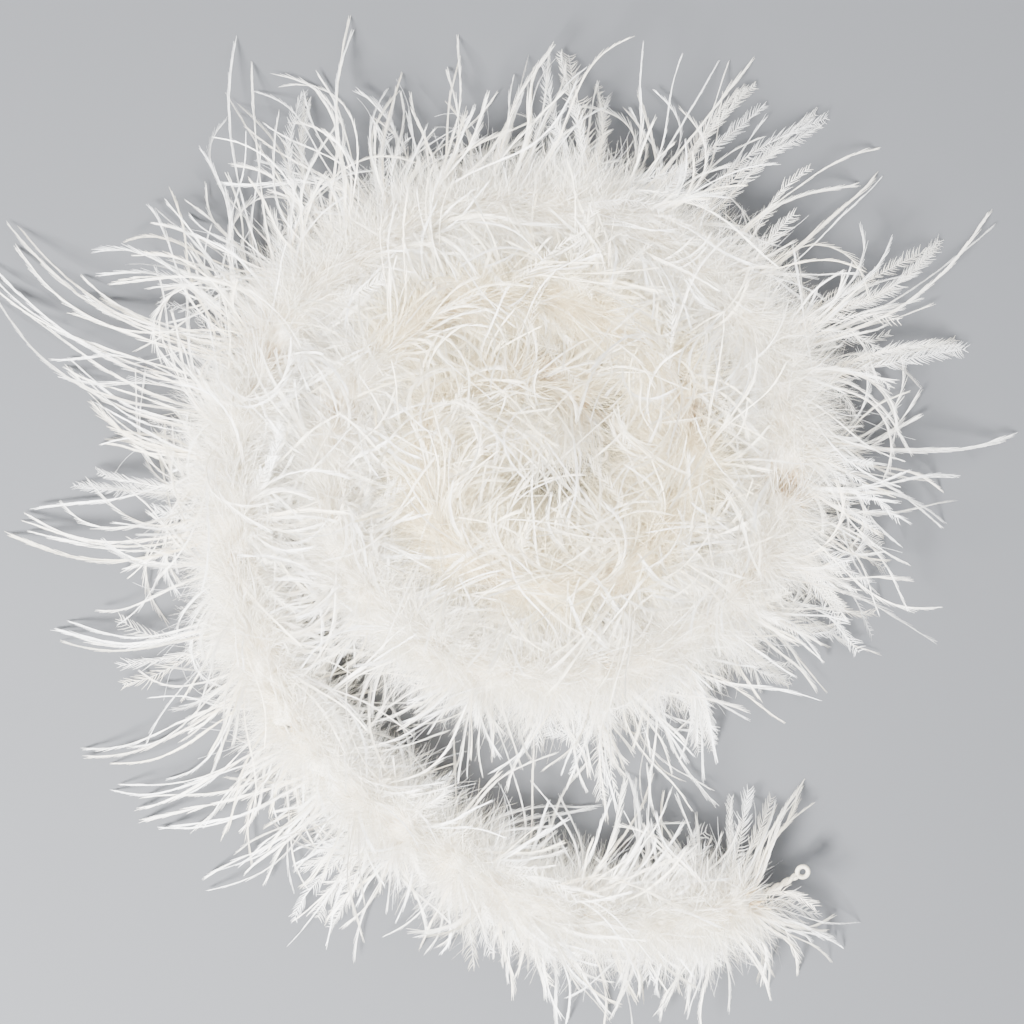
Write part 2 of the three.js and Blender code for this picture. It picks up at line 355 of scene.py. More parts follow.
def add_barbules(fibres, rng, spines, facing, count, angle, length, fold, width, columns):
    """Rows of fine barbules down both sides of each shaft, clumped as damp feather clumps."""
    forward, across, through = facing
    strands = len(spines)
    clump = 5
    stray, missing = 0.12, 0.06
    spin = rng.uniform(0, 6.28, (strands, 1))
    for side in (-1, 1):
        shares = np.linspace(0.05, 0.985, count) + rng.uniform(-0.4, 0.4, (strands, count)) / count
        shares = np.clip(shares, 0.02, 0.99)
        base = sample(spines, shares)
        ahead = unit(sample(forward, shares))
        beside = unit(sample(across, shares)) * side
        above = unit(sample(through, shares))
        clumps = rng.normal(0, 0.34, (strands, count // clump + 1)).repeat(clump, axis=1)[:, :count]
        open_angle = angle[:, None] * (1 + clumps + rng.normal(0, stray, (strands, count)))
        open_angle *= 0.8 + 0.4 * (1 - shares) + 0.3 * smoothly(0.85, 1.0, shares)
        folded = fold[:, None] * (rng.uniform(0.4, 1.1, (strands, count))
                                  + 0.8 * np.sin(9 * shares + spin + side))
        swell = np.clip(shares * 7, 0.35, 1) * np.clip((1.15 - shares) * 3.6, 0.5, 1)
        reach = length[:, None] * swell * rng.uniform(0.7, 1.15, (strands, count))
        reach *= np.where(rng.uniform(size=(strands, count)) < missing, 0.35, 1)
        sideways = (beside * np.cos(folded)[..., None] + above * np.sin(folded)[..., None])
        sideways *= np.sin(open_angle)[..., None]
        heading = ahead * np.cos(open_angle)[..., None] + sideways
        middle = base + heading * (reach * 0.5)[..., None]
        end = middle + unit(heading + ahead * 0.35) * (reach * 0.5)[..., None]
        line = np.stack([base, middle, end], axis=2).reshape(-1, 3, 3)
        line[..., 2] = np.maximum(line[..., 2], 0.4)
        flat = unit(np.cross(heading, above)).reshape(-1, 1, 3).repeat(3, axis=1)
        widths = width * np.array([1.0, 0.8, 0.25]) * np.ones((len(line), 1))
        # Barbules near the foot of the shaft, and each barbule's base, take more of the darker root
        # cream: partly real cream, partly painted shade.
        run = (0.5 * shares[..., None] + np.array([0, 0.25, 0.5])).reshape(-1, 3)
        fibres.ribbons(line, flat, widths, run, columns.repeat(count))


# ---- finishes ----

class Wire:
    """A shader socket that takes part in Python sums."""

    def __init__(self, tree, socket):
        self.tree = tree
        self.socket = socket

    def _sum(self, operation, first, second):
        node = self.tree.nodes.new("ShaderNodeMath")
        node.operation = operation
        for entry, value in zip(node.inputs, (first, second)):
            plug(self.tree, entry, value)
        return Wire(self.tree, node.outputs[0])

    def __add__(self, other):
        return self._sum("ADD", self, other)

    def __radd__(self, other):
        return self._sum("ADD", other, self)

    def __rsub__(self, other):
        return self._sum("SUBTRACT", other, self)

    def __mul__(self, other):
        return self._sum("MULTIPLY", self, other)

    def __rmul__(self, other):
        return self._sum("MULTIPLY", other, self)

    def __truediv__(self, other):
        return self._sum("DIVIDE", self, other)

    def __gt__(self, other):
        return self._sum("GREATER_THAN", self, other)


def plug(tree, entry, value):
    if isinstance(value, Wire):
        tree.links.new(value.socket, entry)
    else:
        entry.default_value = value


class Finish:
    """One material, made node by node."""

    def __init__(self, name):
        self.material = bpy.data.materials.new(name)
        self.material.use_nodes = True
        self.tree = self.material.node_tree
        self.tree.nodes.clear()

    def node(self, kind, settings=None, inputs=None, output=0):
        node = self.tree.nodes.new(kind)
        for name, value in (settings or {}).items():
            setattr(node, name, value)
        for name, value in (inputs or {}).items():
            plug(self.tree, node.inputs[name], value)
        return Wire(self.tree, node.outputs[output])

    def blend(self, share, first, second):
        """A colour mix. Its sockets are found by number because each kind of mix has its own."""
        return self.node("ShaderNodeMix", {"data_type": "RGBA"}, {0: share, 6: first, 7: second}, 2)

    def between(self, value, low, high):
        """Eased from 0 to 1 as a value passes from low to high."""
        return self.node("ShaderNodeMapRange", {"interpolation_type": "SMOOTHSTEP"},
                         {"Value": value, "From Min": low, "From Max": high})

    def map_place(self):
        return self.node("ShaderNodeUVMap", {"uv_map": MAP_NAME})

    def strand_place(self, corner):
        """The place along a strand, its column of the map and a random value for the column."""
        across = self.node("ShaderNodeSeparateXYZ", None, {0: corner}, 0)
        run = self.node("ShaderNodeSeparateXYZ", None, {0: corner}, 1)
        column = self.node("ShaderNodeMath", {"operation": "FLOOR"}, {0: across * COLUMNS})
        lot = self.node("ShaderNodeTexWhiteNoise", {"noise_dimensions": "1D"}, {"W": column})
        return run, column, lot

    def stretched_noise(self, corner, stretch, detail):
        """Fine noise that runs lengthwise along each strand or ply."""
        drawn = self.node("ShaderNodeVectorMath", {"operation": "MULTIPLY"},
                          {0: corner, 1: stretch})
        return self.node("ShaderNodeTexNoise", None,
                         {"Vector": drawn, "Scale": 1.0, "Detail": detail})

    def cloudiness(self, scale, detail=3.0):
        """Soft variation through the piece, in its own space."""
        place = self.node("ShaderNodeTexCoord", None, None, 3)
        return self.node("ShaderNodeTexNoise", None,
                         {"Vector": place, "Scale": scale, "Detail": detail, "Roughness": 0.55})

    def surface(self, shader):
        sink = self.tree.nodes.new("ShaderNodeOutputMaterial")
        self.tree.links.new(shader.socket, sink.inputs["Surface"])
        return self.material


def darker(tint, share):
    return tuple(share * c for c in tint[:3]) + (1.0,)


def feather_finish(name, colours, glow, gloss):
    """Keratin strands: cream at the root, darkened there as painted shade, and white at the tip,
    each a little unlike the next.
    """
    root, cream = tuple(colours.root), tuple(colours.cream)
    tip, quill = tuple(colours.tip), tuple(colours.quill)
    finish = Finish(name)
    corner = finish.map_place()
    run, column, lot = finish.strand_place(corner)
    streak = finish.stretched_noise(corner, (900.0, 9.0, 1.0), 2.0)
    patches = finish.cloudiness(26.0)
    # A higher column blends to the darker cream and holds more root colour: partly the feathers'
    # own cream, partly painted shade in the coil.
    tone = column / SHAFT_COLUMN
    # Near the root each strand, shaft and barbule takes the darker root cream, which is partly its
    # own cream and partly painted shade deep in the down.
    clear_of_root_shade = finish.between(run * 0.9 + patches * 0.4, 0.1, 0.75)
    pale = finish.blend(tone, tip, cream)
    strand = finish.blend(clear_of_root_shade * (1 - 0.3 * tone), root, pale)
    strand = finish.blend(finish.between(lot, 0.6, 1.0) * 0.3, strand, darker(root, 0.88))
    strand = finish.blend(finish.between(streak, 0.5, 0.8) * 0.22, strand, root)
    shaft_colour = finish.blend(finish.between(run, 0.0, 0.6), root, tip)
    quill_colour = finish.blend(run, quill, root)
    base = finish.blend(column > SHAFT_COLUMN - 0.5, strand, shaft_colour)
    base = finish.blend(column > QUILL_COLUMN - 0.5, base, quill_colour)
    rough = gloss + 0.14 * streak + 0.1 * lot
    body = finish.node("ShaderNodeBsdfPrincipled", None, {
        "Base Color": base, "Roughness": rough, "Specular IOR Level": 0.35,
        "Sheen Weight": 0.25, "Sheen Roughness": 0.5})
    warm = (tip[0], 0.98 * tip[1], 0.93 * tip[2], 1.0)
    through = finish.node("ShaderNodeBsdfTranslucent", None, {"Color": warm})
    return finish.surface(finish.node("ShaderNodeMixShader", None, {0: glow, 1: body, 2: through}))


def cotton_finish(name, pale, shade):
    """Twisted cotton: fine fibres along each ply, some of them darker by the share in shade."""
    finish = Finish(name)
    fibre = finish.stretched_noise(finish.map_place(), (1400.0, 60.0, 1.0), 4.0)
    patches = finish.cloudiness(180.0)
    base = finish.blend(finish.between(fibre * 0.7 + patches * 0.3, 0.32, 0.66),
                        darker(pale, shade), pale)
    bump = finish.node("ShaderNodeBump", None,
                       {"Strength": 0.6, "Distance": 0.0002, "Height": fibre})
    body = finish.node("ShaderNodeBsdfPrincipled", None, {
        "Base Color": base, "Roughness": 0.72 + 0.2 * fibre, "Normal": bump,
        "Sheen Weight": 0.3, "Specular IOR Level": 0.3})
    return finish.surface(body)


def floor_finish(tint):
    finish = Finish("pale_board")
    grain = finish.cloudiness(90.0, 5.0)
    base = finish.blend(grain * 0.25, tint, darker(tint, 0.93))
    body = finish.node("ShaderNodeBsdfPrincipled", None, {"Base Color": base, "Roughness": 0.8})
    return finish.surface(body)


# ---- settings a maker would change ----

def length_setting(name, description, default):
    return FloatProperty(name=name, description=description, default=default, unit="LENGTH")


def colour_setting(name, description, red, green, blue):
    return FloatVectorProperty(name=name, description=description, subtype="COLOR", size=4,
                               default=(red, green, blue, 1.0))


class BoaDownSettings(PropertyGroup):
    tufts: IntProperty(name="Tufts", description="Tufts of down on each sleeve",
                       default=420, min=20)
    strands: IntProperty(name="Strands", description="Strands in each tuft", default=22, min=3)
    strand_length: length_setting("Strand length", "Middle length of a strand", 0.033)
    strand_width: length_setting("Strand width", "Width of a strand at its root", 0.00021)
    body_radius: length_setting("Under-down", "Radius of the packed under-down", 0.011)


class BoaFlueSettings(PropertyGroup):
    slim: IntProperty(name="Slim flues", description="Closed flues in each bunch", default=100)
    open: IntProperty(name="Open plumes", description="Fern-like plumes in each bunch", default=16)
    bare: IntProperty(name="Bare barbs", description="Hair-thin barbs in each bunch", default=50)
    barbule_width: length_setting("Barbule width", "Width of a barbule at its root", 0.00033)


class BoaCordSettings(PropertyGroup):
    width: length_setting("Cord width", "Width over both plies of the core cord", 0.004)
    lay_length: length_setting("Lay length", "Length of one full twist of the cord", 0.012)


class BoaColourSettings(PropertyGroup):
    tip: colour_setting("Tips", "Tips of the flues and the down", 0.95, 0.955, 0.95)
    # The cream is partly the coil's own warmth and partly painted shade where the coil's down lies
    # under the flues.
    cream: colour_setting("Cream", "Warmer tips in the middle of the coil", 0.925, 0.84, 0.57)
    # The root cream is partly the strands' own colour and partly painted shade, darkened to deepen
    # the crevices near the cord.
    root: colour_setting("Roots", "Cream of the strands near their roots", 0.82, 0.66, 0.40)
    quill: colour_setting("Quills", "Beige of the quill ends", 0.55, 0.37, 0.20)
    cotton: colour_setting("Cotton", "Ivory of the twisted cord", 0.80, 0.72, 0.58)
    thread: colour_setting("Thread", "Off-white of the whipping thread", 0.86, 0.83, 0.76)


class BoaStageSettings(PropertyGroup):
    view_width: length_setting("View width", "Width of floor that the camera sees", 0.570)
    camera_height: length_setting("Camera height", "Height of the camera over the floor", 1.1)
    floor: colour_setting("Floor", "Pale board under the boa", 0.08, 0.083, 0.09)
    key_power: FloatProperty(name="Key light", description="Power of the soft key light",
                             default=420.0, unit="POWER")


SETTINGS = {
    "boa_down": BoaDownSettings, "boa_flues": BoaFlueSettings, "boa_cord": BoaCordSettings,
    "boa_colours": BoaColourSettings, "boa_stage": BoaStageSettings,
}


# ---- the cord, its eyes and its whippings ----

def path_between(start, stop, spacing=3.0):
    """Points of the route between two places, run in either direction."""
    count = max(int(abs(stop - start) / spacing), 4) + 1
    return ROUTE.point(np.linspace(start, stop, count))


def twisted_plies(fibres, line, width, lay_length):
    """The plies wound round a line of points, each a round tube."""
    steps = np.linalg.norm(np.diff(line, axis=0), axis=1)
    run = np.concatenate([[0], np.cumsum(steps)])
    count = max(int(run[-1] / PLY_STEP), 8)
    run_fine = np.linspace(0, run[-1], count)
    centre = np.stack([np.interp(run_fine, run, line[:, i]) for i in range(3)], axis=-1)
    forward = unit(np.gradient(centre, axis=0))
    across = unit(np.cross(forward, UP))
    above = np.cross(across, forward)
    for ply in range(PLIES):
        angle = 2 * math.pi * (run_fine / lay_length + ply / PLIES)
        offset = across * np.cos(angle)[:, None] + above * np.sin(angle)[:, None]
        spine = centre + offset * width * PLY_OFFSET
        ahead = unit(np.gradient(spine, axis=0))
        side = unit(np.cross(ahead, UP + 0.001))
        over = np.cross(side, ahead)
        widths = np.full((1, count), width * PLY_WIDTH)
        widths[0, 0] = widths[0, -1] = width * PLY_END_WIDTH
        shares = (run_fine / PLY_MAP_LENGTH % 1.0)[None]
        fibres.round_tubes(spine[None], side[None], over[None], widths, shares,
                           np.array([ply]), PLY_SIDES)


def eye_line(centre, heading, radius):
    """One ply's way round the eye, from one side of the neck to the other."""
    heading = np.array([*heading[:2], 0.0])
    side = np.cross(UP, heading)
    angles = np.linspace(math.pi - EYE_GAP, -(math.pi - EYE_GAP), EYE_POINTS)
    ring = centre + radius * (np.cos(angles)[:, None] * heading + np.sin(angles)[:, None] * side)
    ring[:, 2] += 0.5 * np.sin(angles)
    return ring


def thread_whipping(fibres, rng, centre, forward, radius, length, column):
    """Close turns of thread wound round the cord, a little uneven."""
    count = THREAD_TURNS * THREAD_POINTS
    run = np.linspace(-0.5, 0.5, count)
    side = unit(np.cross(forward, UP))
    angle = 2 * math.pi * THREAD_TURNS * run
    spread = radius + rng.normal(0, 0.05, count)
    spine = (centre + forward * (run * length)[:, None]
             + (side * np.cos(angle)[:, None] + UP * np.sin(angle)[:, None]) * spread[:, None])
    ahead = unit(np.gradient(spine, axis=0))
    away = unit(spine - centre - forward * (run * length)[:, None])
    widths = np.full((1, count), THREAD_WIDTH)
    fibres.round_tubes(spine[None], np.cross(ahead, away)[None], away[None], widths,
                       (run + 0.5)[None], np.array([column]), 5)


def make_cord_piece(name, node, body, start, stop, settings, cotton):
    """One free length of the core cord, from the place where it leaves its neighbour."""
    line = path_between(start, stop)
    fibres = Fibres()
    twisted_plies(fibres, line, settings.width / MM, settings.lay_length / MM)
    piece = fibres.make(name, cotton)
    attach(piece, body)
    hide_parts(node)
    return piece, [tuple(point * MM) for point in line]


def make_eye(name, node, body, hinge, tip, settings, cotton):
    """The cord's end: its two twisted plies run to the neck, and a single round tube makes a small
    eye.
    """
    way = 1 if tip > hinge else -1
    centre = ROUTE.point(np.array([tip - way * LOOP_CENTRE]))[0]
    neck = tip - way * (LOOP_CENTRE + LOOP_RADIUS + EYE_NECK)
    width = settings.width / MM
    fibres = Fibres()
    line = path_between(hinge, neck)
    twisted_plies(fibres, line, width, settings.lay_length / MM)
    heading = unit(centre - line[-1])
    ring = eye_line(centre, heading, LOOP_RADIUS + 0.1)
    ring = np.vstack([line[-1:] + UP * 0.4, ring, line[-1:] - UP * 0.4])
    ahead = unit(np.gradient(ring, axis=0))
    side = unit(np.cross(ahead, UP))
    widths = np.full((1, len(ring)), width * EYE_WIDTH)
    fibres.round_tubes(ring[None], side[None], np.cross(side, ahead)[None], widths,
                       np.linspace(0, 0.6, len(ring))[None], np.array([EYE_COLUMN]), EYE_SIDES)
    piece = fibres.make(name, cotton)
    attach(piece, body)
    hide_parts(node)
    return piece


def make_whipping(name, node, body, place, thread):
    """Two layers of thread that stop the cord from fraying."""
    fibres = Fibres()
    rng = random_for(int(place), 5)
    centre = ROUTE.point(np.array([place]))[0]
    forward = ROUTE.along(np.array([place]))[0]
    for layer, radius in enumerate(THREAD_LAYERS):
        thread_whipping(fibres, rng, centre, forward, radius, WHIPPING_LENGTH - layer, layer)
    piece = fibres.make(name, thread)
    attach(piece, body)
    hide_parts(node)
    return piece


# ---- down and flues ----

def region_of(number):
    """The stretch of cord that carries one bunch's flues and the sleeve after it."""
    start = hinge_place(number) + 0.5
    stop = hinge_place(number + 1) - 0.5
    if number == SLEEVE_COUNT:
        stop = bunch_place(BUNCH_COUNT) - 2
    if number == BUNCH_COUNT:
        start, stop = bunch_place(number) - 6, bunch_place(number) + 3
    return start, stop


# Spots where the down parts and shows beige quill roots, how wide each is, and how deep
PARTINGS = [(103, 59), (-3, -30), (146, 25), (-31, 125), (62, -28), (-76, 62), (30, 100),
            (-122, 92)]
PARTING_FLOOR, PARTING_EDGE = 3, 8
PARTING_DEPTH = 0.55

# Sleeves in the coil's middle, which lean inward and close it, thinner ones on the tail, and
# the points along each strand of down
MIDDLE_SLEEVES = 4
SLENDER_SLEEVES = 4
DOWN_STEPS = 5


def parting(places):
    """1 where the down parts over the quill roots, falling to 0 a little way off."""
    spots = [place_near(point) for point in PARTINGS]
    gaps = np.min([np.abs(places - spot) for spot in spots], axis=0)
    return 1 - smoothly(PARTING_FLOOR, PARTING_EDGE, gaps)


def place_near(point):
    """The place along the route that passes closest to a point of the table."""
    return ROUTE.places[np.linalg.norm(ROUTE.line - point, axis=1).argmin()]


def puffs(places):
    """The down swells and pinches along the cord."""
    swell = 1 + 0.14 * np.sin(places / 6.1) * np.sin(places / 17.3 + 1)
    swell += 0.08 * np.sin(places / 9.7)
    return swell * (1 - PARTING_DEPTH * parting(places))


def packed_down(fibres, rng, start, stop, radius, column):
    """The lumpy body of matted under-down that the loose strands rise from, coloured in the darker
    root cream as painted shade deep between the strands.
    """
    places = np.linspace(start, stop, int((stop - start) / 1.8))
    sides, waves = 22, 9
    angle = np.arange(sides) * 2 * math.pi / sides
    lumps = np.zeros((len(places), sides))
    for _ in range(waves):
        across, along, phase = rng.integers(1, 6), rng.uniform(0.1, 0.6), rng.uniform(0, 6.28)
        lumps += 0.05 * np.sin(across * angle + along * places[:, None] + phase)
    ends = np.minimum(smoothly(start - 1, start + 6, places), smoothly(stop + 1, stop - 6, places))
    reach = radius * (puffs(places)[:, None] + lumps) * (0.35 + 0.65 * ends[:, None])
    outward = ROUTE.outward(places)[:, None]
    ring = outward * np.cos(angle)[:, None] + UP * np.sin(angle)[:, None]
    rings = ROUTE.point(places)[:, None] + ring * reach[..., None]
    # The run is held low, so the body takes the darker root cream: painted shade in the crevices
    # between the strands, lower still at the partings.
    run = 0.42 - 0.4 * parting(places) + 0.1 * np.sin(places / 5)
    fibres.tubes(rings[None], run[None], np.array([column]))


def make_down(number, settings, finish):
    """One sleeve of marabou down: soft wavy strands in tufts, all round the cord."""
    rng = random_for(number, 1)
    start, stop = region_of(number)
    centre = number > SLEEVE_COUNT - MIDDLE_SLEEVES
    tufts = settings.tufts * 3 // 2 if centre else settings.tufts
    places = np.sort(rng.uniform(start, stop, tufts))
    along, outward = ROUTE.along(places), ROUTE.outward(places)
    angle = rng.uniform(-0.3 * math.pi, 1.3 * math.pi, tufts)
    if centre:
        angle[::2] = rng.normal(math.pi + 0.25, 0.45, len(angle[::2]))
    radial = outward * np.cos(angle)[:, None] + UP * np.sin(angle)[:, None]
    lean = rng.normal(0.2, 0.45, tufts)
    heading = unit(radial + along * lean[:, None])
    body = settings.body_radius / MM
    root = ROUTE.point(places) + radial * body * puffs(places)[:, None] * 0.7
    shift = rng.uniform(0.8, 1.15, tufts) * puffs(places)
    if centre:
        shift *= np.where(np.cos(angle) < 0, 1.6, 1.0)
    if number <= SLENDER_SLEEVES:
        shift *= 0.88

    count = settings.strands
    headings = unit(heading.repeat(count, axis=0) + rng.normal(0, 0.36, (tufts * count, 3)))
    roots = root.repeat(count, axis=0) + rng.normal(0, 0.8, (tufts * count, 3))
    lengths = settings.strand_length / MM * shift.repeat(count)
    lengths *= 0.42 + 0.8 * rng.uniform(0, 1, len(roots)) ** 1.6
    spines = grow(rng, roots, headings, lengths, rng.normal(0, 0.02, len(roots)), 0.035,
                  rng.uniform(0.004, 0.02, len(roots)), rng.uniform(0.3, 3, len(roots)), DOWN_STEPS)
    across = frames(rng, spines, 1.2)[1]
    width = settings.strand_width / MM
    widths = width * np.array([1.0, 1.0, 0.9, 0.65, 0.25]) * rng.uniform(0.7, 1.3, (len(roots), 1))
    fibres = Fibres()
    run = np.broadcast_to(np.linspace(0.15, 1, DOWN_STEPS), (len(roots), DOWN_STEPS))
    columns = tones(rng, number, len(roots), DOWN_TONES)
    beige = (parting(places) > 0.3).repeat(count)
    columns[beige] = rng.integers(QUILL_COLUMN, COLUMNS, beige.sum())
    fibres.ribbons(spines, across, widths, run, columns)
    # In the coil the under-down takes a creamier, darker column, which adds to the painted shade
    # deep between the turns.
    packed_down(fibres, rng, start, stop, body, 6 if number <= RIM_BUNCHES else 40)
    piece = fibres.make(f"down_sleeve_{number:02d}", finish)
    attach(piece, body_of_bunch(number))
    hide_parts(f"marabou_down_{number:02d}")


# How far each rim bunch's flues reach on the outer side, and how they lean along the route
OUTER_REACH = [62, 67, 80, 98, 118, 122, 112, 98, 96, 104, 90, 62, 76, 78]
OUTER_LEAN = [-0.2, -0.4, -0.3, -0.1, 0.05, 0.2, 0.7, 0.75, 0.4, 0.0, 0.1, 0.3, 0.1, -0.1]
# Bunches whose flues lie nearly parallel
NEAT_BUNCHES = (6, 7, 8)

# Where a bunch sits on the boa, the share of its flues that point inward, and how far those reach
TAIL, RIM, TURNS, MIDDLE = "tail", "rim", "turns", "middle"
INWARD_SHARE = {TAIL: 0.5, RIM: 0.38, TURNS: 0.5, MIDDLE: 0.68}
TIP_REACH, TAIL_REACH, RIM_REACH, INNER_REACH = 66.0, 92.0, 70.0, 72.0
FLUE_STEPS = 14

# Long flues that stand out of the fringe: root, tip, sideways bow, how many, and their kind
SLIM, OPEN, BARE = "slim", "open", "bare"
SHAFT_WIDTH = {SLIM: 0.45, OPEN: 0.6, BARE: 0.36}
KIND_LENGTH = {SLIM: 1.0, OPEN: 0.82, BARE: 0.7}
SHEAVES = [
    ((-136, 78), (-276, 140), 22, 3, SLIM), ((-134, 90), (-264, 162), 16, 3, SLIM),
    ((-138, 62), (-276, 120), 20, 2, SLIM), ((-126, 100), (-226, 131), 12, 4, SLIM),
    ((-120, 118), (-145, 268), 10, 2, SLIM), ((-108, 130), (-139, 234), -14, 3, SLIM),
    ((-84, 158), (-81, 273), 12, 2, SLIM), ((-96, 148), (-110, 240), 10, 3, OPEN),
    ((-60, 172), (-58, 239), 10, 4, SLIM), ((-40, 180), (-22, 259), -8, 3, SLIM),
    ((-20, 184), (12, 248), -9, 4, SLIM), ((0, 186), (36, 256), -10, 3, SLIM),
    ((40, 184), (62, 236), -8, 3, OPEN), ((70, 176), (131, 254), -12, 3, SLIM),
    ((84, 170), (148, 243), 10, 3, OPEN), ((110, 156), (181, 223), 12, 3, OPEN),
    ((122, 146), (198, 192), 12, 2, SLIM), ((132, 136), (212, 195), -14, 2, SLIM),
    ((146, 116), (248, 156), -12, 3, OPEN), ((152, 100), (276, 170), -26, 2, SLIM),
    ((160, 70), (262, 95), 10, 4, OPEN), ((163, 50), (281, 50), -10, 2, SLIM),
    ((164, 30), (248, 3), 8, 3, SLIM), ((160, 6), (214, -14), 6, 3, OPEN),
    ((146, -30), (189, -58), -10, 3, OPEN), ((130, -56), (164, -86), -8, 4, OPEN),
    ((112, -74), (125, -120), -6, 4, OPEN), ((96, -86), (109, -120), 6, 3, OPEN),
    ((-139, 0), (-259, -2), 14, 4, SLIM), ((-140, 20), (-231, 25), 10, 3, OPEN),
    ((-132, -52), (-240, -64), 12, 4, SLIM), ((-118, -88), (-226, -128), 12, 3, SLIM),
    ((-104, -110), (-206, -147), 8, 4, SLIM), ((-90, -128), (-184, -170), 8, 3, SLIM),
    ((-62, -152), (-117, -231), 12, 2, SLIM), ((-56, -158), (-95, -220), -8, 3, OPEN),
    ((-70, -146), (-109, -197), 8, 3, SLIM), ((-34, -174), (-70, -186), 4, 3, SLIM),
    ((-24, -180), (-31, -236), 6, 3, SLIM), ((-6, -192), (3, -242), 6, 3, SLIM),
    ((14, -200), (42, -275), 8, 2, SLIM), ((30, -206), (61, -275), -6, 2, SLIM),
    ((48, -212), (81, -259), 6, 3, SLIM), ((70, -214), (81, -136), -10, 3, SLIM),
    ((110, -212), (142, -147), -8, 3, OPEN), ((136, -205), (168, -147), 4, 5, SLIM),
    ((138, -205), (183, -221), -5, 4, SLIM), ((136, -205), (186, -232), 4, 4, SLIM),
    ((134, -206), (170, -241), 5, 4, SLIM), ((138, -205), (178, -211), 6, 3, OPEN),
    ((130, -207), (148, -250), 5, 3, SLIM), ((124, -209), (152, -158), -6, 4, SLIM),
    ((66, 178), (44, 262), 9, 3, OPEN), ((34, 185), (118, 98), 14, 3, OPEN),
    ((14, 186), (96, 122), 12, 3, OPEN), ((80, 172), (150, 120), -8, 3, OPEN),
    ((-140, 30), (-70, 96), 10, 3, SLIM), ((-136, 80), (-60, 140), -10, 3, SLIM),
    ((-80, 160), (0, 150), 8, 3, SLIM), ((120, 146), (90, 60), -9, 3, SLIM),
    ((150, 0), (96, -20), 8, 2, SLIM), ((-100, -112), (-46, -60), 8, 3, SLIM),
    ((-138, 52), (-236, 90), 12, 4, SLIM), ((-140, 40), (-222, 66), 8, 4, SLIM),
    ((-140, 26), (-214, 44), -8, 4, SLIM), ((-90, -128), (-158, -196), 14, 3, SLIM),
]


def feather(fibres, rng, number, spines, kind, settings):
    """Puts shafts and barbules on a set of spines of one kind."""
    strands, steps = spines.shape[:2]
    facing = frames(rng, spines, 0.5)
    fineness = 1.0 if number <= RIM_BUNCHES else 0.72
    thickness = SHAFT_WIDTH[kind] * fineness * rng.uniform(0.8, 1.2, (strands, 1))
    widths = thickness * np.linspace(1.0, 0.3, steps)
    run = np.broadcast_to(np.linspace(0.05, 1, steps), (strands, steps))
    columns = rng.integers(SHAFT_COLUMN, QUILL_COLUMN, strands)
    fibres.round_tubes(spines, facing[1], facing[2], widths, run, columns)
    if kind == BARE:
        return
    total = np.linalg.norm(np.diff(spines, axis=1), axis=2).sum(axis=1).mean()
    if kind == SLIM:
        count, angle = int(total / 1.7), rng.uniform(0.05, 0.15, strands) * fineness
        length, fold = rng.uniform(7, 12, strands), rng.uniform(0.2, 1.2, strands)
    else:
        count, angle = int(total / 1.45), rng.uniform(0.5, 0.8, strands)
        length, fold = rng.uniform(5.5, 8.5, strands), rng.uniform(0.0, 0.5, strands)
    add_barbules(fibres, rng, spines, facing, count, angle, length, fold,
                 settings.barbule_width / MM, tones(rng, number, strands, FLUE_TONES))


def zone_of(number):
    if number <= TAIL_BUNCHES:
        return TAIL
    if number <= RIM_BUNCHES:
        return RIM
    return TURNS if number < SLEEVE_COUNT - 2 else MIDDLE


